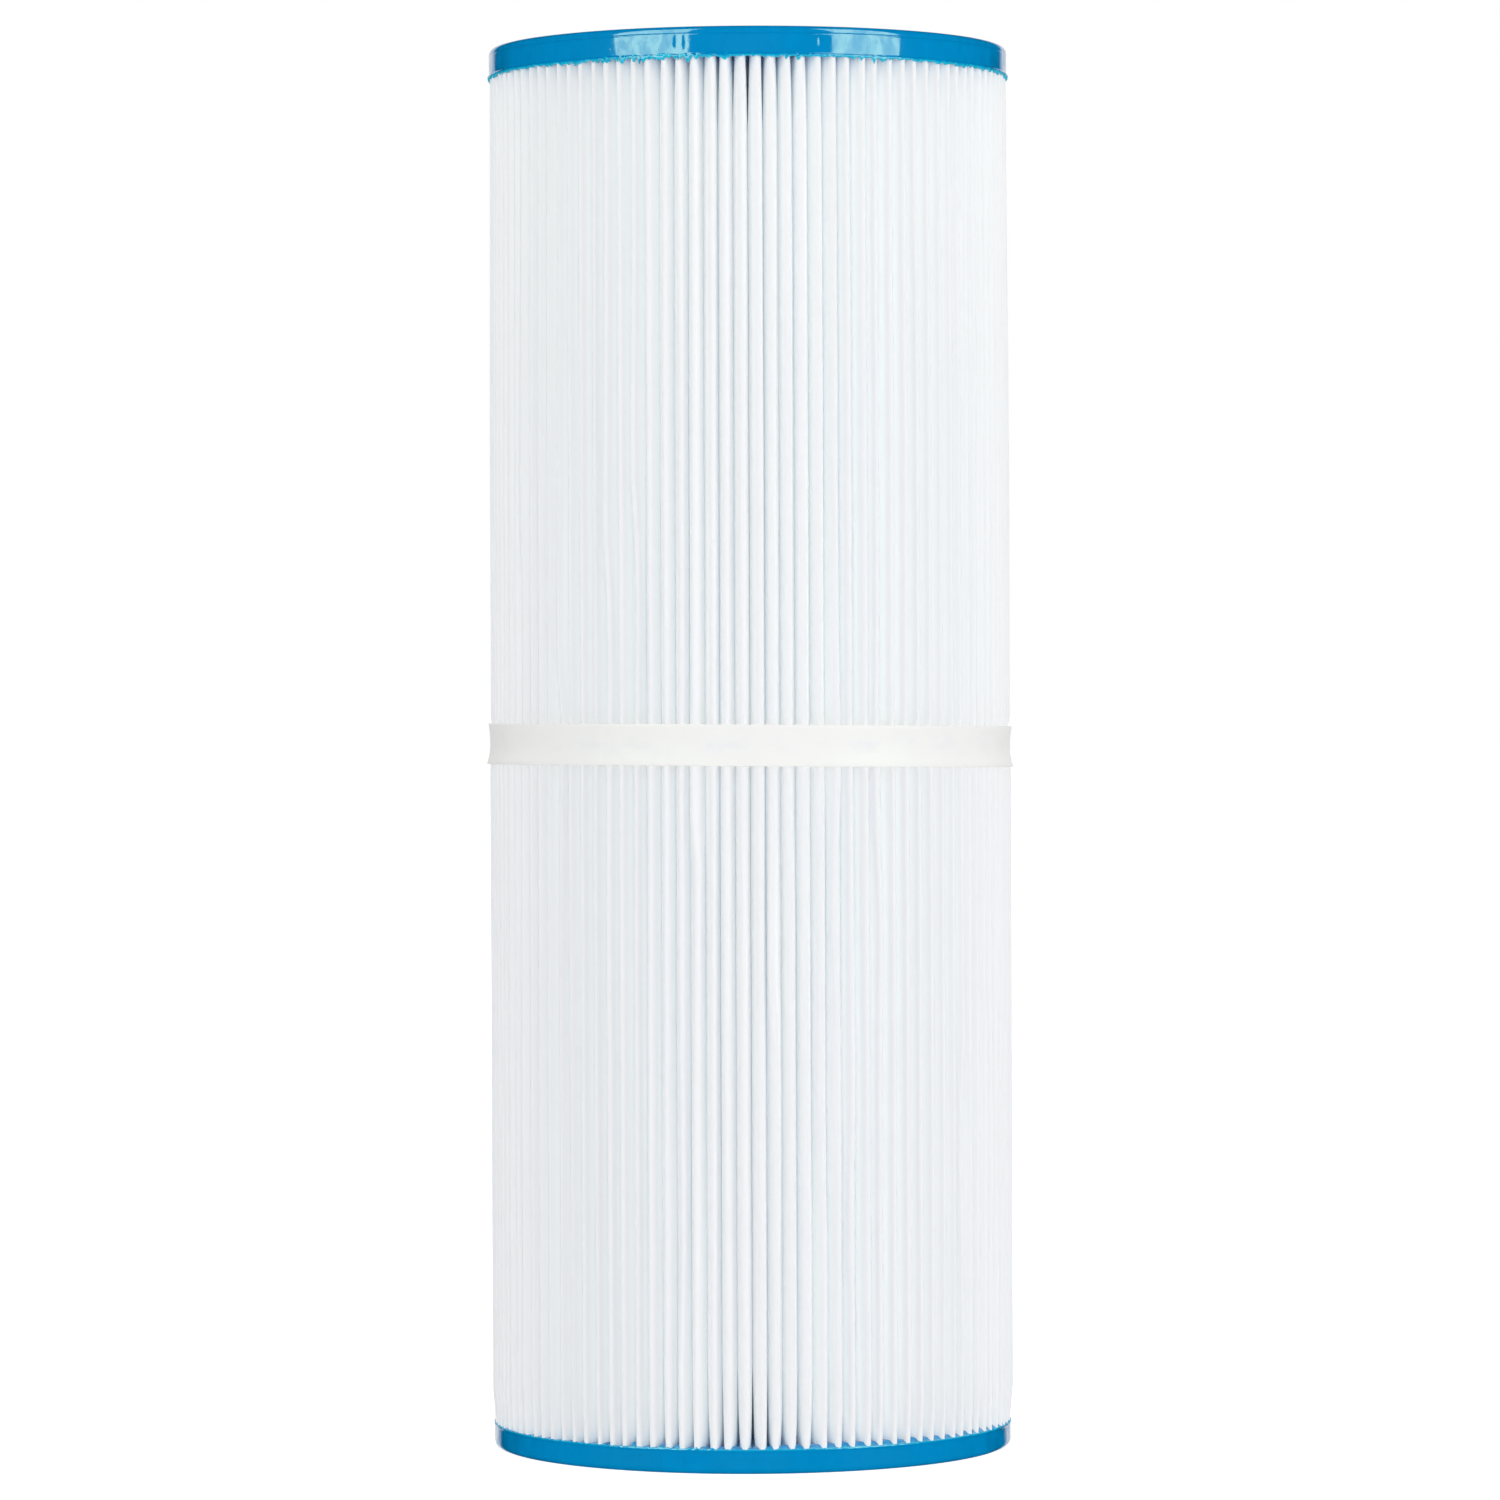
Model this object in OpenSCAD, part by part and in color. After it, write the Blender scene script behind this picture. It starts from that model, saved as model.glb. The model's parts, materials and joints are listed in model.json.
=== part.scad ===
// Filter cartridge for a pool or spa: a pleated sheet around a windowed core, potted in two cast end caps.
// +Z is up, along the cartridge. The origin is the centre of the bottom end face.

/* [Overall] */
// Length over both end caps
cartridge_length = 338.1; // [200:0.1:500]
// Diameter of the end caps' outer walls
cap_diameter = 125.4; // [110:0.1:160]

/* [End caps] */
// Diameter of the open hole through each end cap
bore_diameter = 54; // [40:0.1:66]
// Height of the top cap's outer wall
top_cap_height = 7; // [5:0.1:14]
// Height of the bottom cap's outer wall
bottom_cap_height = 5.8; // [5:0.1:14]
// Resin between the end face and the ends of the pleats and core
cap_floor = 2.2; // [1.8:0.1:3]
// Radius of the rounded edge around the end face
outer_edge_radius = 1.3; // [0.4:0.1:1.7]
// Radius of the rounded edge around the hole
bore_edge_radius = 0.8; // [0.4:0.1:1.7]
// How far the flash lip at the pleat side stands out from the outer wall
flash_width = 0.35; // [0.1:0.05:1]
// Height of the flash lip
flash_height = 0.6; // [0.2:0.1:1.5]
// Width of the sealing land around the hole
inner_land_width = 7; // [3:0.1:10]
// Width of the land along the outer edge
outer_land_width = 6; // [3:0.1:10]
// Depth of the recess between the two lands
face_recess = 0.6; // [0.2:0.1:1]

/* [Core] */
// Resin between the hole and the inside of the core
core_cover = 1.7; // [1:0.1:4]
// Wall of the core
core_wall = 2.2; // [1.6:0.1:4]
// Number of windows around the core, an even number
window_columns = 10; // [6:2:12]
// Rows of windows in each core section
window_rows = 5; // [2:1:6]
// Width of a window
window_width = 12.5; // [6:0.1:13]
// Solid ring between two rows of windows
ring_height = 3.2; // [2:0.1:5]
// Solid collar at each end of a core section
collar_height = 8; // [7:0.1:12]
// Length of the spigot that enters the next section
spigot_length = 5; // [3:0.1:6]
// Gap around a spigot in its socket
spigot_clearance = 0.05; // [0.02:0.01:0.2]
// Gap between a spigot's end and the bottom of its socket
spigot_end_gap = 0.2; // [0.1:0.1:1]
// How far the snap bead stands out from the spigot
snap_height = 0.25; // [0.1:0.05:0.4]

/* [Pleated media] */
// Number of pleats
pleat_count = 106; // [60:1:128]
// Thickness of the sheet
media_thickness = 0.5; // [0.3:0.05:0.6]
// Middle radius of the folds at the outside
outer_fold_radius = 0.8; // [0.4:0.05:1]
// Middle radius of the folds at the core
inner_fold_radius = 0.4; // [0.35:0.05:0.45]
// Resin between the pleat tips and the caps' outer wall
tip_cover = 0.4; // [0.3:0.1:2]
// Gap between the inner folds and the core
core_clearance = 0.25; // [0.1:0.05:1]
// Radial length of the adhesive in the sheet's seam
seam_depth = 12; // [5:1:20]

/* [Reinforcing band] */
// Height of the band
band_height = 9.8; // [6:0.1:20]
// How far the band's middle lies above the cartridge's middle
band_offset = 1.3; // [-20:0.1:20]
// Thickness of the band at its edges
band_edge_thickness = 0.8; // [0.6:0.1:1.5]
// How far the middle of the band's face lies inside its edges
band_hollow = 0.35; // [0.1:0.05:0.4]
// Thickness of the adhesive under the band
band_glue_thickness = 0.3; // [0.1:0.1:0.6]
// How far the adhesive stays inside the band's edges
band_glue_inset = 1.9; // [0.5:0.1:2.5]

/* [Hidden] */
$fn = 96;

section_count = 4;
overcut = 1;                           // how far a cut runs past the face that it opens
seam_angle = 90 + 180 / pleat_count;   // at the back, so that a valley faces front
outer_fold_steps = 4;                  // facets around the outside of a fold
inner_fold_steps = 2;                  // facets around the inside of a fold

cap_r = cap_diameter / 2;
bore_r = bore_diameter / 2;

core_r_in = bore_r + core_cover;
core_r_out = core_r_in + core_wall;
core_length = cartridge_length - 2 * cap_floor;
section_length = core_length / section_count;
window_height = (section_length - 2 * collar_height + ring_height) / window_rows - ring_height;
joint_r = core_r_in + core_wall / 2;   // where spigot and socket meet

pleat_step = 360 / pleat_count;
tip_r = cap_r - tip_cover;
root_r = core_r_out + core_clearance;
outer_fold_r = tip_r - outer_fold_radius - media_thickness / 2;
inner_fold_r = root_r + inner_fold_radius + media_thickness / 2;
seam_end_r = tip_r - outer_fold_radius;

band_z = cartridge_length / 2 + band_offset;
band_r_in = tip_r + band_glue_thickness;
band_r_out = band_r_in + band_edge_thickness;
// Radius of the arc that hollows the band's face
band_arc_r = (pow(band_height / 2, 2) + pow(band_hollow, 2)) / (2 * band_hollow);

// A point at radius r on the radial line at angle a, moved sideways by across
function beside(r, across, a) = [r * cos(a) - across * sin(a), r * sin(a) + across * cos(a)];

// Half turn around a fold at angle a. out is 1 for a tip and -1 for a root.
function fold(r, radius, a, out, steps) =
    [for (i = [0:steps])
        let (t = -90 + 180 * i / steps)
        beside(r + out * radius * cos(t), radius * sin(t), a)];

// One face of the sheet, from one side of the seam round to the other. side is 1 for the outer face.
function sheet_face(side) =
    let (tip = outer_fold_radius + side * media_thickness / 2)
    let (root = inner_fold_radius - side * media_thickness / 2)
    [beside(seam_end_r, tip, seam_angle),
     for (k = [0:pleat_count - 1]) each [
         each fold(inner_fold_r, root, seam_angle + (k + 0.5) * pleat_step, -1, inner_fold_steps),
         if (k < pleat_count - 1)
             each fold(outer_fold_r, tip, seam_angle + (k + 1) * pleat_step, 1, outer_fold_steps)],
     beside(seam_end_r, -tip, seam_angle)];

function reversed(list) = [for (i = [len(list) - 1:-1:0]) list[i]];

// Section through the folded sheet
module sheet_section() {
    polygon(concat(sheet_face(1), reversed(sheet_face(-1))));
}

module tube(r_out, r_in, height) {
    difference() {
        cylinder(r = r_out, h = height);
        translate([0, 0, -overcut]) cylinder(r = r_in, h = height + 2 * overcut);
    }
}

// Section of a cap from the hole to the outer wall, end face at the bottom
module cap_section(height) {
    difference() {
        union() {
            translate([bore_r + bore_edge_radius, 0])
                square([cap_r - bore_r - bore_edge_radius - outer_edge_radius, height]);
            translate([bore_r, bore_edge_radius])
                square([bore_edge_radius, height - bore_edge_radius]);
            translate([cap_r - outer_edge_radius, outer_edge_radius])
                square([outer_edge_radius, height - outer_edge_radius]);
            translate([bore_r + bore_edge_radius, bore_edge_radius])
                circle(bore_edge_radius);
            translate([cap_r - outer_edge_radius, outer_edge_radius])
                circle(outer_edge_radius);
            translate([cap_r - outer_edge_radius, height - flash_height])
                square([outer_edge_radius + flash_width, flash_height]);
        }
        translate([bore_r + inner_land_width, -overcut])
            square([cap_r - bore_r - inner_land_width - outer_land_width, overcut + face_recess]);
    }
}

// End cap with its end face at z = 0, cast around the ends of the sheet and the core
module cap_casting(height) {
    color("#008fd0") difference() {
        rotate_extrude() cap_section(height);
        translate([0, 0, cap_floor]) linear_extrude(height) sheet_section();
        translate([0, 0, cap_floor]) tube(core_r_out, core_r_in, height);
    }
}

module top_end_cap() {
    translate([0, 0, cartridge_length]) mirror([0, 0, 1]) cap_casting(top_cap_height);
}

module bottom_end_cap() {
    cap_casting(bottom_cap_height);
}

// Windows of one core section, each bar cutting two that face each other
module windows() {
    bar_length = 2 * (core_r_out + overcut);
    for (row = [0:window_rows - 1], turn = [0:window_columns / 2 - 1])
        rotate([0, 0, turn * 360 / window_columns])
            translate([-bar_length / 2, -window_width / 2,
                       collar_height + row * (window_height + ring_height)])
                cube([bar_length, window_width, window_height]);
}

// Ring of round section that snaps a spigot into its socket
module snap_ring(radius, z) {
    translate([0, 0, z]) rotate_extrude() translate([radius, 0]) circle(snap_height);
}

// One length of the core: a socket below takes the spigot of the section under it
module core_section(index) {
    has_socket = index > 0;
    has_spigot = index < section_count - 1;
    spigot_r = joint_r - spigot_clearance;
    snap_z = spigot_length / 2;
    color("#f2f4f4") translate([0, 0, cap_floor + index * section_length]) difference() {
        union() {
            tube(core_r_out, core_r_in, section_length);
            if (has_spigot)
                translate([0, 0, section_length - spigot_length])
                    tube(spigot_r, core_r_in, 2 * spigot_length);
            if (has_spigot) snap_ring(spigot_r, section_length + snap_z);
        }
        windows();
        if (has_socket)
            translate([0, 0, -overcut]) cylinder(r = joint_r, h = overcut + spigot_length + spigot_end_gap);
        if (has_socket) snap_ring(joint_r, snap_z);
    }
}

module core_section_1() { core_section(0); }
module core_section_2() { core_section(1); }
module core_section_3() { core_section(2); }
module core_section_4() { core_section(3); }

module pleated_media() {
    color("#f4f7f9") translate([0, 0, cap_floor]) linear_extrude(core_length) sheet_section();
}

// Bead between the two legs where the sheet's ends meet, from cap to cap
module seam_adhesive() {
    gap = outer_fold_radius - media_thickness / 2;
    root = inner_fold_radius + media_thickness / 2;
    share = seam_depth / (outer_fold_r - inner_fold_r);
    left_out = beside(seam_end_r, gap, seam_angle);
    left_in = beside(inner_fold_r, -root, seam_angle + pleat_step / 2);
    right_out = beside(seam_end_r, -gap, seam_angle);
    right_in = beside(inner_fold_r, root, seam_angle - pleat_step / 2);
    color("#e8e4d2")
        translate([0, 0, bottom_cap_height])
            linear_extrude(cartridge_length - top_cap_height - bottom_cap_height)
                polygon([left_out, left_out + share * (left_in - left_out),
                         right_out + share * (right_in - right_out), right_out]);
}

module reinforcing_band() {
    color("#eceeec") translate([0, 0, band_z]) rotate_extrude() difference() {
        translate([band_r_in, -band_height / 2]) square([band_edge_thickness, band_height]);
        translate([band_r_out - band_hollow + band_arc_r, 0]) circle(band_arc_r, $fn = 720);
    }
}

module band_adhesive() {
    glue_height = band_height - 2 * band_glue_inset;
    color("#e8e4d2") translate([0, 0, band_z - glue_height / 2]) tube(band_r_in, tip_r, glue_height);
}

top_end_cap();
bottom_end_cap();
core_section_1();
core_section_2();
core_section_3();
core_section_4();
pleated_media();
seam_adhesive();
reinforcing_band();
band_adhesive();
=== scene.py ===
"""Filter cartridge for a pool or spa: pleated sheet, cast end caps, core and band, on a studio floor."""

import json
import math
import random
from collections import namedtuple

import bmesh
import bpy
from bpy.props import FloatProperty, FloatVectorProperty, IntProperty, PointerProperty
from mathutils import Matrix, Vector, noise


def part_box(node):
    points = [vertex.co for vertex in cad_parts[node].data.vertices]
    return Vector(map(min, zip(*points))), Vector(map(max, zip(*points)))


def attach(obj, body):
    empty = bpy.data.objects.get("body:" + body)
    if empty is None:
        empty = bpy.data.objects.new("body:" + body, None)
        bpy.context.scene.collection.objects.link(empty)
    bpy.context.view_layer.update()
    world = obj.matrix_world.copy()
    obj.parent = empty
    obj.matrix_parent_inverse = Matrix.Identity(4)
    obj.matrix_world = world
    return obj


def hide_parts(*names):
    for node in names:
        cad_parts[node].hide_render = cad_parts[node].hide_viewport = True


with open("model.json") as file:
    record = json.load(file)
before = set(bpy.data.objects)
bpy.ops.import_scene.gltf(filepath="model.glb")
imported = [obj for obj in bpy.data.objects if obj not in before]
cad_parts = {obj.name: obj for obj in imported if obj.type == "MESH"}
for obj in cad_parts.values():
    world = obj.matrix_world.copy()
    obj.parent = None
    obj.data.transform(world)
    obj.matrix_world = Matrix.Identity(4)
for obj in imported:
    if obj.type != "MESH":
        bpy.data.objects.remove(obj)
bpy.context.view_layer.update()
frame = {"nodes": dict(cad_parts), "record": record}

bl_info = {
    "name": "Filter Cartridge",
    "version": (1, 0, 0),
    "blender": (4, 5, 0),
    "location": "View3D > Sidebar > Cartridge",
    "description": "Builds a pleated filter cartridge around its packed frame",
    "category": "Add Mesh",
}

MM = 0.001
BODY = "root"
FULL_TURN = 2 * math.pi

# Places and sizes that the frame already holds
SHEET_LOW, SHEET_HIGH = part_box("pleated_media")
BAND_LOW, BAND_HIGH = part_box("reinforcing_band")
CORE_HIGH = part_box("core_section_1")[1]
TOP_CAP_LOW, TOP_CAP_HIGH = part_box("top_end_cap")
BOTTOM_CAP_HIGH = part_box("bottom_end_cap")[1]
SEAM_LOW, SEAM_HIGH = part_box("seam_adhesive")
BORE_RADIUS = frame["record"]["mounts"][0]["dims"]["r_mm"] * MM
CARTRIDGE_LENGTH = TOP_CAP_HIGH.z


def distance(name, description, default):
    """A size in metres that a user may change."""
    return FloatProperty(name=name, description=description, default=default, subtype="DISTANCE",
                         unit="LENGTH", precision=5)


def colour(name, description, default):
    """A colour that a user may change."""
    return FloatVectorProperty(name=name, description=description, default=default, subtype="COLOR",
                               size=3, min=0, max=1)


class SheetSettings(bpy.types.PropertyGroup):
    """Sizes and colours of the pleated sheet."""

    pleats: IntProperty(name="Pleats", description="Number of pleats", default=106, min=40, max=128)
    thickness: distance("Thickness", "Thickness of the spunbond sheet", 0.5 * MM)
    seam_gap: distance("Seam gap", "From the seam's middle to the middle of the sheet's edge", 0.8 * MM)
    root_radius: distance("Root fold", "Middle radius of the folds at the core", 0.4 * MM)
    root_gap: distance("Root gap", "Gap between the inner folds and the core", 0.25 * MM)
    slit: distance("Slit", "Gap between two pleats where they swell", 0.05 * MM)
    bulge: distance("Bulge", "How far the pleats stand out between the caps and the band", 0.66 * MM)
    wander: distance("Wander", "How far a pleat tip strays sideways", 0.5 * MM)
    # Tip and depth colours: the tips are painted darker and the gaps between the pleats paler and bluer, as
    # painted light that lifts the shade deep in the gaps
    fibre: colour("Fibre", "Colour of the fibres on the tips", (0.893, 0.900, 0.926))
    depth: colour("Depth", "Colour of the fibres between the pleats", (0.968, 0.985, 0.993))


class CapSettings(bpy.types.PropertyGroup):
    """Sizes and colours of the end caps."""

    outer_edge: distance("Outer edge", "Radius of the rounded edge around the end face", 1.3 * MM)
    bore_edge: distance("Hole edge", "Radius of the rounded edge around the hole", 0.8 * MM)
    inner_land: distance("Inner land", "Width of the sealing land around the hole", 7 * MM)
    outer_land: distance("Outer land", "Width of the land along the outer edge", 6 * MM)
    recess: distance("Recess", "Depth of the face between the two lands", 0.6 * MM)
    flash_width: distance("Flash width", "How far the flash lip stands out", 0.35 * MM)
    flash_height: distance("Flash height", "Height of the flash lip", 0.6 * MM)
    urethane: colour("Urethane", "Colour of the cast urethane", (0.0, 0.28, 0.63))
    fringe: colour("Fringe", "Colour of the thin urethane at the flash", (0.0, 0.60, 0.84))


class BandSettings(bpy.types.PropertyGroup):
    """Sizes and colours of the band."""

    thickness: distance("Thickness", "Thickness of the band at its edges", 0.8 * MM)
    hollow: distance("Hollow", "How far the middle of the face lies inside its edges", 0.35 * MM)
    edge: distance("Edge", "Radius of the band's rounded edges", 0.14 * MM)
    sag: distance("Sag", "How far the band's middle has slipped down", 0.75 * MM)
    slant: FloatVectorProperty(name="Slant", description="Slope of the slightly crooked band along X and Y",
                               default=(-0.0094, -0.012), size=2)
    plastic: colour("Plastic", "Colour of the band", (0.905, 0.903, 0.894))
    # Smudge colour: the adhesive behind the band, and painted shade of the pleats seen through it
    adhesive_and_shade: colour("Smudge", "Colour where the adhesive shows through", (0.84, 0.84, 0.875))


class CoreSettings(bpy.types.PropertyGroup):
    """Colours of the core and of the adhesive."""

    plastic: colour("Plastic", "Colour of the moulded core", (0.80, 0.82, 0.82))
    glue: colour("Adhesive", "Colour of the set adhesive", (0.78, 0.74, 0.60))


class StageSettings(bpy.types.PropertyGroup):
    """Camera, lights and floor."""

    camera_distance: distance("Camera distance", "From the cartridge's axis to the camera", 1.564)
    eye_height: distance("Eye height", "Height of the camera above the floor", 0.1902)
    tilt: FloatProperty(name="Tilt", description="How far the camera looks down, in degrees", default=0.8185)
    roll: FloatProperty(name="Roll", description="How far the camera leans, in degrees", default=-0.2291)
    lens: FloatProperty(name="Lens", description="Focal length in millimetres", default=154.53)
    shift: FloatVectorProperty(name="Shift", description="Lens shift, as shares of the picture's width",
                               default=(-0.00013, 0.00153), size=2)
    floor: colour("Floor", "Colour of the floor", (0.92, 0.92, 0.92))
    glow: FloatProperty(name="Floor glow", description="How brightly the floor glows", default=0.7)
    fill: FloatProperty(name="Fill", description="Strength of the soft light from all around", default=0.56)


SETTINGS = {
    "cartridge_sheet": SheetSettings,
    "cartridge_caps": CapSettings,
    "cartridge_band": BandSettings,
    "cartridge_core": CoreSettings,
    "cartridge_stage": StageSettings,
}


class Wire:
    """One output of a shader node, which takes part in sums the way a number does."""

    def __init__(self, finish, socket):
        self.finish = finish
        self.socket = socket

    def _math(self, operation, *values, clamp=False):
        made = self.finish.node("ShaderNodeMath", {"operation": operation, "use_clamp": clamp},
                                dict(enumerate(values)))
        return Wire(self.finish, made.outputs[0])

    def __add__(self, other):
        return self._math("ADD", self, other)

    def __radd__(self, other):
        return self._math("ADD", other, self)

    def __sub__(self, other):
        return self._math("SUBTRACT", self, other)

    def __rsub__(self, other):
        return self._math("SUBTRACT", other, self)

    def __mul__(self, other):
        return self._math("MULTIPLY", self, other)

    def __rmul__(self, other):
        return self._math("MULTIPLY", other, self)

    def __truediv__(self, other):
        return self._math("DIVIDE", self, other)

    def __pow__(self, other):
        return self._math("POWER", self, other)

    def __abs__(self):
        return self._math("ABSOLUTE", self)

    def clamped(self):
        """The same value held between 0 and 1."""
        return self._math("ADD", self, 0.0, clamp=True)

    def at_least(self, other):
        """The larger of this value and another."""
        return self._math("MAXIMUM", self, other)


class NodeMaker:
    """A node tree, and the ways in which nodes are added to it."""

    def __init__(self, tree):
        self.tree = tree

    def node(self, kind, settings=None, inputs=None):
        """Adds a node. Its settings go in before its sockets get their values and links."""
        made = self.tree.nodes.new(kind)
        for key, value in (settings or {}).items():
            if key == "stops":
                self.set_stops(made.color_ramp, value)
            else:
                setattr(made, key, value)
        for key, value in (inputs or {}).items():
            self.feed(made.inputs[key], value)
        return made

    def feed(self, socket, value):
        """Links a wire to a socket, or sets the socket's value."""
        if isinstance(value, Wire):
            self.tree.links.new(value.socket, socket)
        else:
            socket.default_value = value

    @staticmethod
    def set_stops(ramp, stops):
        """Gives a ramp its stops, each a position and a grey level."""
        while len(ramp.elements) < len(stops):
            ramp.elements.new(1.0)
        for element, (position, level) in zip(ramp.elements, stops):
            element.position = position
            element.color = (level, level, level, 1)

    def axes(self, vector):
        """The three parts of a vector."""
        made = self.node("ShaderNodeSeparateXYZ", inputs={0: vector})
        return [Wire(self, made.outputs[i]) for i in range(3)]

    def stretched(self, vector, scale, turn=(0, 0, 0)):
        """A vector turned and scaled by its own amount along each axis."""
        made = self.node("ShaderNodeMapping", {"vector_type": "POINT"},
                         {"Vector": vector, "Rotation": turn, "Scale": scale})
        return Wire(self, made.outputs[0])

    def noise(self, vector, scale, detail=2.0, roughness=0.5, distortion=0.0):
        """A soft noise between 0 and 1."""
        made = self.node("ShaderNodeTexNoise", None,
                         {"Vector": vector, "Scale": scale, "Detail": detail, "Roughness": roughness,
                          "Distortion": distortion})
        return Wire(self, made.outputs[0])

    def cells(self, vector, scale):
        """Distance to scattered points, as for pits and specks."""
        made = self.node("ShaderNodeTexVoronoi", None, {"Vector": vector, "Scale": scale})
        return Wire(self, made.outputs["Distance"])

    def ramp(self, value, *stops):
        """Maps a value through grey stops."""
        made = self.node("ShaderNodeValToRGB", {"stops": stops}, {0: value})
        return Wire(self, made.outputs[0])

    def attribute(self, name):
        """A number that the piece's mesh carries at each vertex."""
        made = self.node("ShaderNodeAttribute", {"attribute_name": name})
        return Wire(self, made.outputs["Fac"])

    def blend(self, share, first, second):
        """A colour that goes from the first to the second as share goes from 0 to 1."""
        made = self.node("ShaderNodeMix", {"data_type": "RGBA"},
                         {0: share, 6: self.rgba(first), 7: self.rgba(second)})
        return Wire(self, made.outputs[2])

    @staticmethod
    def rgba(value):
        """A colour with its alpha, unless it is a wire."""
        return value if isinstance(value, Wire) else (*value, 1.0)

    def outlet(self, kind, name, settings=None, inputs=None):
        """The named output of a new node."""
        return Wire(self, self.node(kind, settings, inputs).outputs[name])


class Finish(NodeMaker):
    """A material, and the nodes that are added to it."""

    def __init__(self, name, **constants):
        self.material = bpy.data.materials.new(name)
        self.material.use_nodes = True
        super().__init__(self.material.node_tree)
        self.shader = self.tree.nodes["Principled BSDF"]
        for socket, value in constants.items():
            self.shader.inputs[socket.replace("_", " ")].default_value = value
        self.place = self.outlet("ShaderNodeTexCoord", "Object")

    def paint(self, **sockets):
        """Feeds the shader's own sockets."""
        for socket, value in sockets.items():
            self.feed(self.shader.inputs[socket.replace("_", " ")], value)

    def relief(self, height, depth, strength=1.0):
        """Raises the surface by a height between 0 and 1, times a depth in metres."""
        made = self.node("ShaderNodeBump", None,
                         {"Height": height, "Distance": depth, "Strength": strength})
        self.feed(self.shader.inputs["Normal"], Wire(self, made.outputs[0]))


def spunbond_finish(settings):
    """White spunbond polyester with fine fibres laid along the sheet. Painted light: deep between the pleats
    it is painted paler and a little bluer, and the tips darker, to lift the shade in the gaps.
    """
    finish = Finish("spunbond_polyester", Roughness=0.72, Specular_IOR_Level=0.15,
                    Sheen_Weight=0.03, Sheen_Roughness=0.45)
    flat = finish.outlet("ShaderNodeUVMap", "UV", {"uv_map": "flat"})
    lengthwise = finish.noise(finish.stretched(flat, (2600, 240, 1)), 1.0, 3.0, 0.6)
    slanting = finish.noise(finish.stretched(flat, (1900, 420, 1), (0, 0, 0.5)), 1.0, 3.0, 0.6)
    crossing = finish.noise(finish.stretched(flat, (1500, 500, 1), (0, 0, -0.9)), 1.0, 2.0, 0.5)
    clumps = finish.noise(finish.stretched(flat, (260, 90, 1)), 1.0, 3.0, 0.55)
    fibres = lengthwise * 0.5 + slanting * 0.3 + crossing * 0.2
    x, y = finish.axes(finish.place)[:2]
    radius = (x * x + y * y) ** 0.5
    # Painted light: the colour turns from the darker tip colour to the paler, bluer depth colour towards the
    # core
    fade_start, fade_depth = SHEET_HIGH.x + 0.55 * MM, 1.8 * MM
    painted_gap_light = ((fade_start - radius) / fade_depth).clamped()
    base = finish.blend(painted_gap_light, settings.fibre, settings.depth)
    shade = ((fibres - 0.5) * 0.55 + (clumps - 0.5) * 0.35 + 0.35).clamped()
    dim = [channel * 0.96 for channel in settings.fibre]
    finish.paint(Base_Color=finish.blend(shade * 0.22, base, dim))
    finish.relief(fibres * 0.75 + clumps * 0.25, 0.05 * MM, 0.6)
    return finish.material


def urethane_finish(settings):
    """Glossy cast urethane: deep blue, paler where it is thin, with flow marks and a cloudy skin."""
    finish = Finish("cast_urethane", Coat_Roughness=0.05)
    thin = finish.attribute("thin")
    flow = finish.noise(finish.stretched(finish.place, (70, 70, 190)), 1.0, 3.0, 0.5, 0.6)
    cloud = finish.noise(finish.place, 38.0, 2.0)
    pits = finish.cells(finish.place, 620.0)
    grain = finish.noise(finish.place, 900.0, 2.0)
    skin = finish.noise(finish.stretched(finish.place, (340, 340, 200)), 1.0, 4.0, 0.66, 0.6)
    deep = [channel * 0.80 for channel in settings.urethane]
    body = finish.blend((cloud * 0.5 + flow * 0.5 - 0.2).clamped() * 0.5, settings.urethane, deep)
    finish.paint(Base_Color=finish.blend(thin.clamped(), body, settings.fringe),
                 Roughness=(0.045 + flow * 0.04 + thin * 0.25).clamped(),
                 Coat_Weight=finish.ramp(skin, (0.40, 0.0), (0.60, 1.0)))
    dimples = finish.ramp(pits, (0.0, 0.0), (0.22, 1.0))
    finish.relief(flow * 0.12 + grain * 0.14 + dimples * 0.10, 0.10 * MM, 0.5)
    return finish.material


def band_finish(settings):
    """Milky satin strap, with smudges along its middle: the adhesive showing through, and painted shade where
    the pleats behind it show through.
    """
    finish = Finish("strap_plastic", Specular_IOR_Level=0.18)
    z = finish.axes(finish.place)[2]
    middle = (BAND_LOW.z + BAND_HIGH.z) / 2
    half = (BAND_HIGH.z - BAND_LOW.z) / 2
    from_middle = abs(z - middle) / half
    inner = (1.0 - from_middle * 1.25).clamped()
    blots = finish.noise(finish.stretched(finish.place, (150, 150, 210)), 1.0, 3.0, 0.6)
    smears = finish.noise(finish.stretched(finish.place, (420, 420, 130)), 1.0, 2.0)
    # Smudges in the middle of the band: the adhesive behind it, and painted shade of the pleats showing
    # through
    adhesive_and_shade_mask = (finish.ramp(blots, (0.46, 0.0), (0.74, 1.0)) * 0.75 + smears * 0.2) * inner
    streak = finish.noise(finish.stretched(finish.place, (60, 60, 2400)), 1.0, 2.0)
    finish.paint(Base_Color=finish.blend(adhesive_and_shade_mask.clamped(), settings.plastic, settings.adhesive_and_shade),
                 Roughness=(0.42 + streak * 0.16).clamped())
    finish.relief(streak * 0.5 + smears * 0.5, 0.03 * MM, 0.4)
    return finish.material


def core_finish(settings):
    """Moulded core: matt white plastic with a fine spark-eroded grain."""
    finish = Finish("moulded_core", Roughness=0.48)
    grain = finish.noise(finish.place, 1400.0, 3.0, 0.6)
    cloud = finish.noise(finish.place, 55.0, 2.0)
    dim = [channel * 0.88 for channel in settings.plastic]
    finish.paint(Base_Color=finish.blend((cloud * 0.6 + grain * 0.3).clamped(), settings.plastic, dim),
                 Roughness=(0.40 + grain * 0.2).clamped())
    finish.relief(grain, 0.03 * MM, 0.4)
    return finish.material


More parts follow.
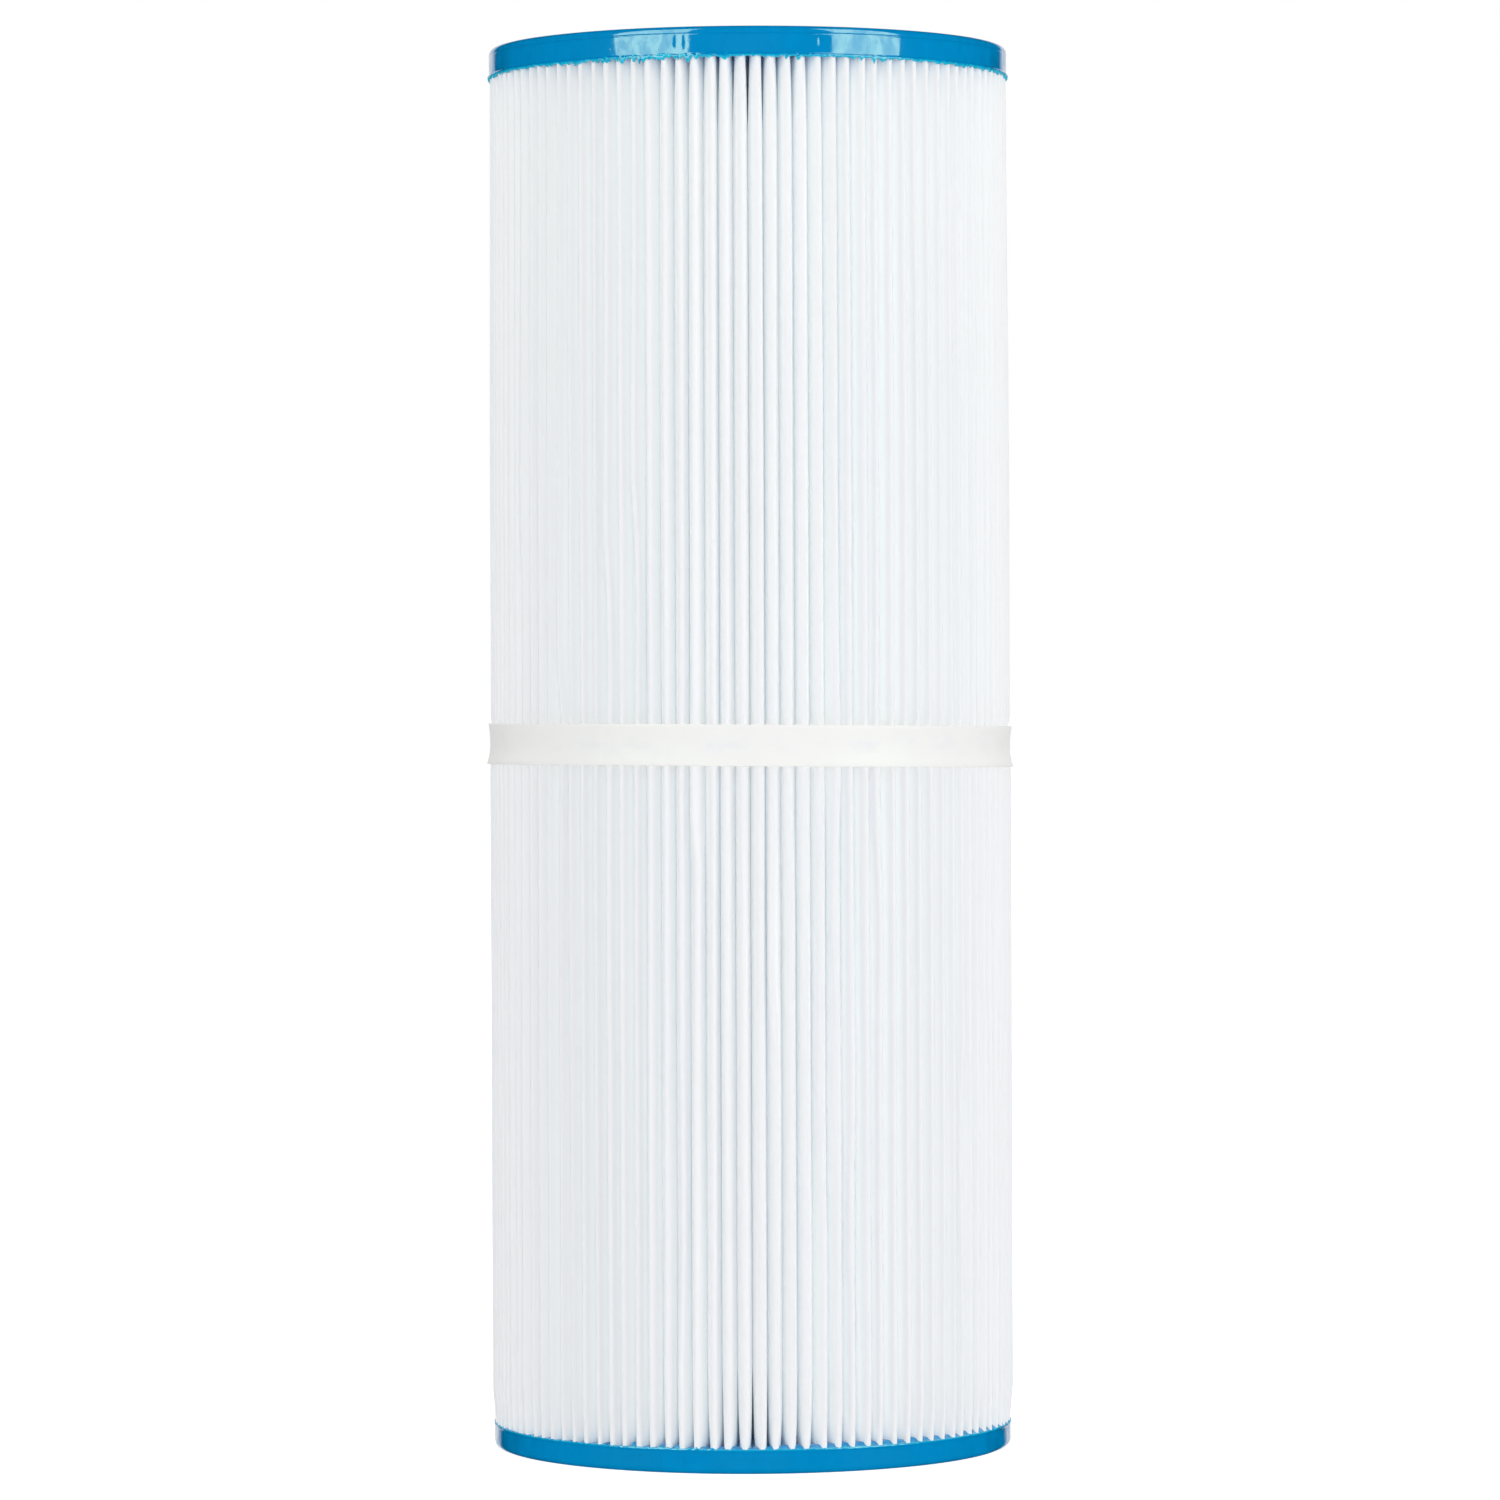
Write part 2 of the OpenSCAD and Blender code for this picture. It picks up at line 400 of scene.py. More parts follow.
def glue_finish(settings):
    """Set adhesive: cream, waxy and uneven."""
    finish = Finish("set_adhesive", Roughness=0.3)
    lumps = finish.noise(finish.place, 420.0, 3.0, 0.55)
    cloud = finish.noise(finish.stretched(finish.place, (200, 200, 40)), 1.0, 2.0)
    pale = [min(1.0, channel * 1.15) for channel in settings.glue]
    finish.paint(Base_Color=finish.blend(cloud, settings.glue, pale),
                 Roughness=(0.22 + lumps * 0.25).clamped())
    finish.relief(lumps, 0.15 * MM, 0.6)
    return finish.material


def floor_finish(settings):
    """Smooth pale studio floor with a hardly visible mottle."""
    finish = Finish("studio_floor", Roughness=0.9, Specular_IOR_Level=0.0, Emission_Color=(1, 1, 1, 1),
                    Emission_Strength=settings.glow)
    mottle = finish.noise(finish.place, 6.0, 3.0)
    dim = [channel * 0.985 for channel in settings.floor]
    finish.paint(Base_Color=finish.blend(mottle, settings.floor, dim))
    return finish.material


def add_piece(name, bm, material, smooth=True):
    """Makes a bmesh into an object at the origin."""
    mesh = bpy.data.meshes.new(name)
    bm.to_mesh(mesh)
    bm.free()
    mesh.materials.append(material)
    if smooth:
        mesh.shade_smooth()
    piece = bpy.data.objects.new(name, mesh)
    bpy.context.scene.collection.objects.link(piece)
    return piece


def stand_for(piece, slot, *nodes):
    """The piece rides on the cartridge and takes the place of CAD nodes."""
    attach(piece, BODY)
    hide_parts(*nodes)


def arc(centre_r, centre_z, radius, start, end, steps):
    """Points of an arc in a lathe outline, with its angles in degrees."""
    angles = [math.radians(start + (end - start) * i / steps) for i in range(steps + 1)]
    return [(centre_r + radius * math.cos(a), centre_z + radius * math.sin(a)) for a in angles]


def lathe(bm, outline, sectors, slices):
    """Spins a closed outline of (radius, height) points over one sector, then repeats it round the axis."""
    around = {"cent": (0, 0, 0), "axis": (0, 0, 1), "dvec": (0, 0, 0)}
    share = FULL_TURN / sectors
    ring = [bm.verts.new((r, 0, z)) for r, z in outline]
    edges = [bm.edges.new((ring[i - 1], ring[i])) for i in range(len(ring))]
    before = set(bm.faces)
    bmesh.ops.spin(bm, geom=ring + edges, angle=share, steps=slices, **around)
    faces = [face for face in bm.faces if face not in before]
    geometry = faces + list({v for f in faces for v in f.verts}) + list({e for f in faces for e in f.edges})
    bmesh.ops.spin(bm, geom=geometry, angle=FULL_TURN - share, steps=sectors - 1, use_duplicate=True,
                   **around)
    bmesh.ops.remove_doubles(bm, verts=bm.verts, dist=0.002 * MM)
    bmesh.ops.recalc_face_normals(bm, faces=bm.faces)


def smooth_step(value):
    """Goes softly from 0 to 1 as value does."""
    t = min(1.0, max(0.0, value))
    return t * t * (3 - 2 * t)


def bump_at(value, centre, width):
    """A soft bump of height 1."""
    return math.exp(-((value - centre) / width) ** 2)


def wave(x, y=0.0, z=0.0):
    """A smooth random value from about -1 to 1."""
    return noise.noise(Vector((x, y, z)))


class PleatPlan:
    """Where each pleat's tip and root run, from the bottom of the sheet to its top."""

    SEED = 7
    BAND_GRIP = 0.6 * MM      # from the band's edge inwards, where a pleat begins to swell
    LEAST_SWELL = 0.45        # share of the swelling that a pleat has beside a cap
    BOTTOM_REACH = 9 * MM     # from the bottom cap to full swelling
    TOP_REACH = 95 * MM       # from the top cap to full swelling
    BELLY = 0.4               # how much further the pleats below the band swell
    BELLY_REACH = 6 * MM      # from the band's middle down to where they do so in full
    TIP_INSET = 0.05 * MM     # how far a held tip lies inside the sheet's box
    OWN_REACH = 0.18 * MM     # how far one whole tip stands out or in by itself
    WAVY_REACH = 0.12 * MM    # how far it does so along its length
    GAPE_REACH = 14 * MM      # from a cap to where the pleats have swollen shut
    FREE_LIMIT = 1.05 * MM    # how far a free tip may stand out
    CAST_LIMIT = 0.22 * MM    # how far a tip may stand out inside a cap, whose wall hides it

    def __init__(self, settings):
        self.settings = settings
        self.count = settings.pleats
        self.step = FULL_TURN / self.count
        self.seam = math.pi / 2 + self.step / 2
        shuffle = random.Random(self.SEED)
        self.lean = [shuffle.uniform(-1, 1) for _ in range(self.count + 1)]
        self.reach = [shuffle.uniform(-1, 1) for _ in range(self.count + 1)]
        self.width = [shuffle.uniform(-1, 1) for _ in range(self.count + 1)]
        self.kinks = [self.new_kink(shuffle) for _ in range(self.count + 1)]
        self.band_z = (BAND_LOW.z + BAND_HIGH.z) / 2
        self.band_half = (BAND_HIGH.z - BAND_LOW.z) / 2

    @staticmethod
    def new_kink(shuffle):
        """A short sideways step in one tip: its height, size and length."""
        size = shuffle.choice((-1, 1)) * shuffle.uniform(0.25, 0.8) * MM
        return shuffle.uniform(0.05, 0.95), size * (shuffle.random() < 0.45), shuffle.uniform(4, 12) * MM

    def freedom(self, angle, z):
        """0 where a cap or the band holds the pleats, 1 where they are free."""
        middle = self.band_z + band_offset(SHEET_HIGH.x * math.cos(angle), SHEET_HIGH.x * math.sin(angle))
        from_band = (abs(z - middle) - self.band_half) / self.BAND_GRIP
        from_bottom = (z - BOTTOM_CAP_HIGH.z) / self.BOTTOM_REACH
        from_top = (TOP_CAP_LOW.z - z) / self.TOP_REACH
        from_caps = self.LEAST_SWELL + (1 - self.LEAST_SWELL) * smooth_step(min(from_bottom, from_top))
        return smooth_step(from_band + 1) * from_caps

    def gape(self, z):
        """1 beside a cap, where the pleats stand straight and apart, 0 where they have swollen shut."""
        return 1 - smooth_step(min(z - BOTTOM_CAP_HIGH.z, TOP_CAP_LOW.z - z) / self.GAPE_REACH)

    def sideways(self, pleat, z):
        """How far a tip strays along the circle: with its neighbours, by itself, and in one short kink.

        A wave's numbers are its pace from pleat to pleat, its pace along the pleat, and where it starts.
        """
        wander = self.settings.wander
        group = wave(pleat * 0.13, z * 3.0, 1.7) * 1.1
        own = wave(pleat * 5.1, z * 6.0, 4.2) * 0.55
        quick = wave(pleat * 3.7, z * 24.0, 9.4) * 0.10
        height, size, length = self.kinks[pleat]
        kink_z = SHEET_LOW.z + height * (SHEET_HIGH.z - SHEET_LOW.z)
        kink = size * math.tanh((z - kink_z) / length) * bump_at(z, kink_z, 45 * MM)
        return wander * (0.75 * self.lean[pleat] + group + own + quick) + kink

    def tip(self, pleat, z):
        """Radius and angle of a tip, the angle by which it strays, and how much the pleat swells."""
        settings = self.settings
        angle = self.seam + pleat * self.step
        free = self.freedom(angle, z)
        near = wave(pleat * 7.3, z * 14.0, 2.2)
        belly = 1 + self.BELLY * smooth_step((self.band_z - z) / self.BELLY_REACH)
        radius = SHEET_HIGH.x - self.TIP_INSET + free * settings.bulge * belly
        radius += (self.OWN_REACH * self.reach[pleat] + self.WAVY_REACH * near) * (0.25 + 0.75 * free)
        cast_in = z < BOTTOM_CAP_HIGH.z or z > TOP_CAP_LOW.z
        radius = min(radius, SHEET_HIGH.x + (self.CAST_LIMIT if cast_in else self.FREE_LIMIT))
        swell = 1 + 0.10 * self.width[pleat] + 0.08 * near
        stray = self.sideways(pleat, z) / SHEET_HIGH.x
        return radius, angle, stray, swell


def band_offset(x, y):
    """How much higher than its level place the slightly crooked band runs at a point."""
    settings = bpy.context.scene.cartridge_band
    return settings.slant[0] * x + settings.slant[1] * y - settings.sag


# One side of a pleat from its tip inwards: depth below the tip, share of the room that its neighbours leave,
# share of the tip's stray, and how much narrower it is beside a cap. The legs swell until they nearly touch.
PLEAT_SIDE = ((0.10 * MM, 0.20, 1.0, 0.0), (0.45 * MM, 0.33, 0.97, 0.05), (1.4 * MM, 0.60, 0.8, 0.15),
              (3.0 * MM, 1.0, 0.0, 0.34), (10.0 * MM, 0.9, 0.0, 0.25))
SEAM_INSET = 1.1 * MM      # how far the sheet's own two edges lie inside the tips
EVENNESS = 0.62            # 1 spaces the sheet's rows evenly, less crowds them at the ends of a span


def beside(radius, across, angle):
    """A point on a radial line, moved sideways."""
    c, s = math.cos(angle), math.sin(angle)
    return radius * c - across * s, radius * s + across * c


def tip_points(plan, pleat, z):
    """Middle line of one pleat's outer part, in the order in which the sheet runs round the cartridge."""
    radius, angle, stray, swell = plan.tip(pleat, z)
    top = radius - plan.settings.thickness / 2
    gape = plan.gape(z)
    sides = []
    for side in (-1, 1):
        for depth, fill, share, narrowing in PLEAT_SIDE:
            room = (top - depth) * plan.step / 2 - plan.settings.thickness / 2 - plan.settings.slit / 2
            width = room * fill * (1 + (swell - 1) * share) * (1 - narrowing * gape)
            sides.append(beside(top - depth, side * width, angle + stray * share))
    last = len(PLEAT_SIDE) - 1
    return sides[last::-1] + [beside(top, 0, angle + stray)] + sides[last + 1:]


def root_points(plan, pleat):
    """Middle line of the inner fold that follows a pleat, the same at every height."""
    settings = plan.settings
    angle = plan.seam + (pleat + 0.5) * plan.step
    depth = CORE_HIGH.x + settings.root_gap + settings.thickness / 2 + 0.3 * settings.root_radius
    return [beside(depth, side * 0.7 * settings.root_radius, angle) for side in (-1, 1)]


def seam_end(plan, pleat, z, side):
    """Middle line of the sheet's own edge, at one side of the seam."""
    radius = plan.tip(0, z)[0]
    angle = plan.seam + pleat * plan.step
    return beside(radius - SEAM_INSET, side * plan.settings.seam_gap, angle)


def sheet_line(plan, z):
    """Middle line of the whole sheet at one height, from one side of the seam to the other."""
    points = [seam_end(plan, 0, z, 1)]
    for pleat in range(plan.count):
        if pleat:
            points += tip_points(plan, pleat, z)
        points += root_points(plan, pleat)
    points.append(seam_end(plan, plan.count, z, -1))
    return points


def sheet_rows():
    """Heights of the sheet's rows, closer together at the caps and at the lower edge of the band."""
    stops = [SHEET_LOW.z, BOTTOM_CAP_HIGH.z - 1 * MM, BAND_LOW.z - 2 * MM, BAND_LOW.z + 0.5 * MM,
             BAND_HIGH.z + 1 * MM, TOP_CAP_LOW.z + 1 * MM, SHEET_HIGH.z]
    spans = [1, 12, 5, 3, 13, 1]
    rows = [stops[0]]
    for low, high, count in zip(stops, stops[1:], spans):
        for i in range(1, count + 1):
            even = i / count
            eased = 0.5 - 0.5 * math.cos(math.pi * even)
            share = EVENNESS * even + (1 - EVENNESS) * eased
            rows.append(low + (high - low) * share)
    return rows


def build_sheet(settings):
    """Folds a flat grid of cloth into the pleats and gives it its thickness."""
    plan = PleatPlan(settings)
    rows = sheet_rows()
    lines = [sheet_line(plan, z) for z in rows]
    columns = len(lines[0])
    middle = lines[len(rows) // 2]
    along = [0.0]
    for a, b in zip(middle, middle[1:]):
        along.append(along[-1] + math.dist(a, b))
    bm = bmesh.new()
    bmesh.ops.create_grid(bm, x_segments=columns - 1, y_segments=len(rows) - 1, size=0.5)
    flat = bm.loops.layers.uv.new("flat")
    for vert in bm.verts:
        column = round((vert.co.x + 0.5) * (columns - 1))
        row = round((vert.co.y + 0.5) * (len(rows) - 1))
        for loop in vert.link_loops:
            loop[flat].uv = (along[column], rows[row])
        vert.co = (*lines[row][column], rows[row])
    bmesh.ops.recalc_face_normals(bm, faces=bm.faces)
    piece = add_piece("pleated_sheet", bm, spunbond_finish(settings))
    wall = piece.modifiers.new("wall", "SOLIDIFY")
    wall.thickness = settings.thickness
    wall.offset = 0.0
    wall.use_even_offset = True
    return piece, along[-1]


PLEAT_SLICES = 12          # slices of a cap from one pleat to the next
CROWD_FRONT = -22          # where crumbs crowd and the flash is most ragged, in degrees from the front
# Places where the urethane has crept up between the pleats: degrees from the front, and how far
HEAPS = ((-39.7, 0.7), (-26.7, 1.0), (-20.0, 0.8), (-16.6, 0.8))

# Marks on a cap's wall, dents and the rims around them: degrees from the front, and share of the mark's depth
DENTS = ((-15.3, 1.0), (15.7, 0.8))
RIMS = ((-14.2, 0.5), (-16.4, 0.5))
MARK_DEPTH = 0.12 * MM

# How a cap came out of its mould: depth of the groove around its wall, share of the flash width, length of
# the ragged flash, share of the creep between the pleats, number of crumbs and share of them in one crowd,
# how pale the flash is, and the random seed
Casting = namedtuple("Casting", "name node groove flash ragged rise crumbs crowding pale seed")
CASTINGS = (
    Casting("top_cap_casting", "top_end_cap", groove=0.17 * MM, flash=1.0, ragged=1.0 * MM, rise=0.0,
            crumbs=150, crowding=0.35, pale=1.0, seed=11),
    Casting("bottom_cap_casting", "bottom_end_cap", groove=0.0, flash=0.45, ragged=0.28 * MM, rise=1.0,
            crumbs=40, crowding=0.0, pale=0.5, seed=23),
)
# Rings across the face that the pleats stand in, in millimetres inwards from the wall
FACE_LOOPS = (0.25, 0.6, 1.1, 1.8, 3.0, 5.5, 12, 22)


def cap_outline(settings, height, wall_radius, cast):
    """Section through a cap whose end face lies at height 0."""
    flash = cast.flash * settings.flash_width
    hole, outer = settings.bore_edge, settings.outer_edge
    inner_land = BORE_RADIUS + settings.inner_land
    outer_land = wall_radius - settings.outer_land
    slope = 0.35 * MM
    lip = height - settings.flash_height
    groove = [(wall_radius - depth * cast.groove, outer + rise * MM)
              for rise, depth in ((0.12, 0), (0.36, 0), (0.5, 1), (0.64, 0), (0.76, 0))]
    wall = [(wall_radius, outer + (lip - outer) * share) for share in (0.45, 0.6, 0.8)]
    wall += [(wall_radius, lip - inset * MM) for inset in (0.22, 0.05)]
    lip_points = [(wall_radius + 0.6 * flash, lip + 0.1 * MM), (wall_radius + flash, lip + 0.28 * MM),
                  (wall_radius + 0.75 * flash, height - 0.06 * MM), (wall_radius + 0.15 * flash, height)]
    face = [(wall_radius - inset * MM, height) for inset in FACE_LOOPS]
    return (arc(BORE_RADIUS + hole, hole, hole, 180, 270, 4)
            + [(inner_land - slope, 0), (inner_land, 0.12 * MM),
               (inner_land + 0.6 * slope, settings.recess * 0.85), (inner_land + 2 * slope, settings.recess)]
            + [(inner_land + (outer_land - inner_land) * share, settings.recess) for share in (0.33, 0.66)]
            + [(outer_land - 2 * slope, settings.recess), (outer_land - 0.6 * slope, settings.recess * 0.85),
               (outer_land, 0.12 * MM), (outer_land + slope, 0)]
            + arc(wall_radius - outer, outer, outer, 270, 360, 6)
            + groove + wall + lip_points + face
            + [(BORE_RADIUS + 0.5 * MM, height), (BORE_RADIUS, height - 0.5 * MM)])


def fringe(circle, front, seed):
    """How far the flash runs along the pleats, as a share of its length."""
    fine = abs(wave(circle.x * 130, circle.y * 130, seed)) - 0.08
    coarse = max(0.0, wave(circle.x * 55, circle.y * 55, seed + 3) + 0.05)
    zone = smooth_step(wave(circle.x * 9, circle.y * 9, seed + 6) * 2)
    busy = 0.75 + 1.3 * bump_at(front, CROWD_FRONT, 12) + 0.4 * zone
    return busy * (1.1 * fine + 1.2 * coarse)


def shape_cap(bm, settings, height, wall_radius, cast):
    """Gives the lathed cap its uneven resin between the pleats, its ragged flash and its mould marks."""
    thin = bm.verts.layers.float["thin"]
    gaps = bpy.context.scene.cartridge_sheet.pleats
    shuffle = random.Random(cast.seed)
    levels = [shuffle.uniform(-0.4, 0.0) + shuffle.uniform(0.0, 0.4) * cast.rise
              for _ in range(gaps + 1)]
    lip = height - settings.flash_height
    near, rim = 0.02 * MM, wall_radius - 0.3 * MM
    for vert in bm.verts:
        if vert[thin]:
            continue
        x, y, z = vert.co
        r = math.hypot(x, y)
        circle = Vector((x / r, y / r, 0))
        front = math.degrees(math.atan2(x, -y))
        on_flash = z > lip + near and r > rim
        on_face = z > height - near and CORE_HIGH.x < r < rim
        on_wall = r > wall_radius - near and settings.outer_edge < z < lip
        if on_flash:
            share = (z - lip) / (height - lip)
            vert[thin] = cast.pale * smooth_step((z - height + 0.42 * MM) / (0.35 * MM))
            vert.co.z += cast.ragged * fringe(circle, front, cast.seed) * share
            vert.co += circle * (0.16 * MM * wave(*(circle.xy * 170), cast.seed + 9) * share)
        elif on_face:
            place = (math.atan2(y, x) - math.pi / 2) / FULL_TURN * gaps % gaps
            askew = smooth_step(0.5 + 1.1 * circle.x) * cast.rise
            level = (levels[int(place)] + askew) * smooth_step((wall_radius - r) / (1.4 * MM))
            heaps = sum(size * bump_at(front, spot, 0.75) for spot, size in HEAPS)
            vert.co.z += (level + heaps * cast.rise + 0.06 * (2 * (place % 1.0) - 1) ** 2) * MM
        elif on_wall:
            dents = sum(size * bump_at(front, spot, 0.42) for spot, size in DENTS)
            rims = sum(size * bump_at(front, spot, 0.40) for spot, size in RIMS)
            ripple = 0.010 * MM * wave(*(circle.xy * 40), z * 300 + cast.seed)
            press = bump_at(z, height * 0.52, height * 0.16)
            vert.co += circle * (ripple + MARK_DEPTH * (rims - dents) * press)


def add_crumbs(bm, height, wall_radius, cast):
    """Small beads of spilt urethane along the flash."""
    thin = bm.verts.layers.float.new("thin")
    shuffle = random.Random(cast.seed)
    for _ in range(cast.crumbs):
        crowded = shuffle.random() < cast.crowding
        front = shuffle.gauss(CROWD_FRONT, 6) if crowded else shuffle.uniform(-180, 180)
        size = shuffle.uniform(0.12, 0.46 if crowded else 0.24) * MM
        angle = math.radians(front)
        r = wall_radius + shuffle.uniform(-0.05, 0.2) * MM
        z = height + shuffle.uniform(-0.6, 0.45) * cast.ragged
        spot = Matrix.Translation((r * math.sin(angle), -r * math.cos(angle), z))
        squash = Matrix.Diagonal((1, 1, shuffle.uniform(0.7, 1.3), 1))
        made = bmesh.ops.create_icosphere(bm, subdivisions=1, radius=size, matrix=spot @ squash)
        for vert in made["verts"]:
            vert[thin] = cast.pale


def build_cap(cast, settings, material):
    """Casts one end cap, the top one upside down."""
    low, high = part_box(cast.node)
    height = high.z - low.z
    wall_radius = high.x - settings.flash_width
    is_top = high.z > CARTRIDGE_LENGTH / 2
    bm = bmesh.new()
    add_crumbs(bm, height, wall_radius, cast)
    lathe(bm, cap_outline(settings, height, wall_radius, cast),
          bpy.context.scene.cartridge_sheet.pleats, PLEAT_SLICES)
    shape_cap(bm, settings, height, wall_radius, cast)
    if is_top:
        bmesh.ops.scale(bm, vec=(1, 1, -1), verts=bm.verts)
        bmesh.ops.translate(bm, vec=(0, 0, CARTRIDGE_LENGTH), verts=bm.verts)
        bmesh.ops.reverse_faces(bm, faces=bm.faces)
    stand_for(add_piece(cast.name, bm, material), "end_caps", cast.node)


BAND_SLICES = 8            # slices of the band from one pleat to the next
STAND_OFF = 0.05           # how far the band's whole face stands out, in millimetres
FLARE = 0.45               # how far its lower edge stands out at the two sides, in millimetres
# Mark where the strap's ends are welded: degrees from the front, millimetres outwards, and width in degrees
WELD = ((-34, 0.09, 0.45), (-33, -0.05, 0.35))


def band_outline(settings, middle, half):
    """Section through the level band: rounded edges, a slightly hollow outer face and a flat inner one."""
    outer = BAND_HIGH.x
    inner = outer - settings.thickness
    edge = settings.edge
    rise = half - edge
    curve = (rise ** 2 + settings.hollow ** 2) / (2 * settings.hollow)
    swing = math.degrees(math.asin(rise / curve))
    return (arc(outer - edge, middle - half + edge, edge, 270, 350, 3)
            + arc(outer - settings.hollow + curve, middle, curve, 180 + swing, 180 - swing, 10)[1:-1]
            + arc(outer - edge, middle + half - edge, edge, 10, 90, 3)
            + arc(inner + edge, middle + half - edge, edge, 90, 180, 2)
            + arc(inner + edge, middle - half + edge, edge, 180, 270, 2))


def shape_band(bm, settings, middle):
    """Gives the lathed band its weld mark, its ripples, its flared lower edge and its crooked run."""
    inner = BAND_HIGH.x - settings.thickness
    for vert in bm.verts:
        r = math.hypot(vert.co.x, vert.co.y)
        circle = Vector((vert.co.x / r, vert.co.y / r, 0))
        front = math.degrees(math.atan2(vert.co.x, -vert.co.y))
        share = smooth_step((r - inner) / settings.thickness)
        weld = sum(size * bump_at(front, spot, width) for spot, size, width in WELD)
        ripple = 0.035 * wave(*(circle.xy * 28), vert.co.z * 260)
        flare = FLARE * smooth_step((middle - 0.5 * MM - vert.co.z) / (4.5 * MM)) * circle.x ** 2
        vert.co += circle * ((weld + ripple + flare + STAND_OFF) * share * MM)
        vert.co.z += band_offset(*vert.co.xy) + 0.06 * MM * wave(*(circle.xy * 12), 5.0)


class CARTRIDGE_OT_sheet(bpy.types.Operator):
    """Fold the spunbond sheet into pleats around the core"""

    bl_idname = "cartridge.sheet"
    bl_label = "Pleated Sheet"

    def execute(self, context):
        piece, length = build_sheet(context.scene.cartridge_sheet)
        stand_for(piece, "media", "pleated_media")
        return {"FINISHED"}


class CARTRIDGE_OT_caps(bpy.types.Operator):
    """Cast the two end caps around the ends of the pleats"""

    bl_idname = "cartridge.caps"
    bl_label = "End Caps"

    def execute(self, context):
        settings = context.scene.cartridge_caps
        material = urethane_finish(settings)
        for cast in CASTINGS:
            build_cap(cast, settings, material)
        return {"FINISHED"}


class CARTRIDGE_OT_band(bpy.types.Operator):
    """Wrap the strap around the middle of the pleats"""

    bl_idname = "cartridge.band"
    bl_label = "Band"

    def execute(self, context):
        settings = context.scene.cartridge_band
        middle = (BAND_LOW.z + BAND_HIGH.z) / 2
        half = (BAND_HIGH.z - BAND_LOW.z) / 2
        bm = bmesh.new()
        lathe(bm, band_outline(settings, middle, half), context.scene.cartridge_sheet.pleats, BAND_SLICES)
        shape_band(bm, settings, middle)
        piece = add_piece("waist_band", bm, band_finish(settings))
        # The thin strap lets so much light through that it throws no shadow on the pleats
        piece.visible_shadow = False
        piece.visible_diffuse = False
        stand_for(piece, "band", "reinforcing_band")
        return {"FINISHED"}


class CARTRIDGE_OT_core(bpy.types.Operator):
    """Give the core sections and the hidden adhesive their finish, and lay the seam's bead"""

    bl_idname = "cartridge.core"
    bl_label = "Core and Adhesive"

    def execute(self, context):
        settings = context.scene.cartridge_core
        plastic = core_finish(settings)
        glue = glue_finish(settings)
        for node in ("core_section_1", "core_section_2", "core_section_3", "core_section_4"):
            dress(node, plastic)
        dress("band_adhesive", glue)
        self.lay_bead(glue)
        return {"FINISHED"}

    @staticmethod
    def lay_bead(glue):
        """Runs a bead of adhesive down the seam, between the sheet's two edges."""
        size = SEAM_HIGH - SEAM_LOW
        centre = (SEAM_HIGH + SEAM_LOW) / 2
        half = 0.4 * MM
        bm = bmesh.new()
        bmesh.ops.create_cube(bm, size=1.0, matrix=Matrix.Translation(centre)
                              @ Matrix.Diagonal((2 * half, size.y, size.z, 1)))
        upright = [e for e in bm.edges if abs(e.verts[0].co.z - e.verts[1].co.z) > size.z / 2]
        bmesh.ops.subdivide_edges(bm, edges=upright, cuts=160, use_grid_fill=True)
        across_bead = [e for e in bm.edges if abs(e.verts[0].co.x - e.verts[1].co.x) > half / 2]
        bmesh.ops.subdivide_edges(bm, edges=across_bead, cuts=2, use_grid_fill=True)
        for vert in bm.verts:
            if vert.co.y > centre.y:
                across = abs(vert.co.x - centre.x) / half
                lump = wave(1.3, vert.co.x * 900, vert.co.z * 130)
                vert.co.y += (0.10 + 0.28 * lump - 0.2 * across ** 2) * MM
        bmesh.ops.recalc_face_normals(bm, faces=bm.faces)
        piece = add_piece("seam_bead", bm, glue)
        stand_for(piece, "adhesive", "seam_adhesive")


def dress(node, material):
    """Gives a CAD node its material."""
    mesh = frame["nodes"][node].data
    mesh.materials.clear()
    mesh.materials.append(material)


# Lamps: degrees from the front, distance from the axis, height, width and tallness in metres, power, colour.
# Only the gloss mirrors the tinted ones, which are tall cards. The white ones are soft boxes, and it doesn't
# mirror those. The floor cuts off the light of the part of a lamp that hangs below it.
Lamp = namedtuple("Lamp", "name azimuth away height width tall power shade")
WHITE, TINTED = (1, 1, 1), (0.70, 1.0, 0.62)
LAMPS = (
    Lamp("left_box", -57, 1.55, 0.24, 0.95, 1.3, 6.5, WHITE),
    Lamp("right_box", 57, 1.55, 0.24, 0.95, 1.3, 9.6, WHITE),
    Lamp("left_card", -42.8, 1.45, 1.2, 0.90, 2.2, 35.0, TINTED),
    Lamp("right_card", 53.3, 1.45, 1.2, 0.85, 2.2, 33.5, TINTED),
    Lamp("front_box", 0, 1.7, 0.2, 1.0, 1.0, 6.9, WHITE),
    Lamp("left_rear", -135, 1.8, 1.0, 1.2, 1.2, 7.0, WHITE),
    Lamp("right_rear", 135, 1.8, 1.0, 1.2, 1.2, 7.0, WHITE),
)


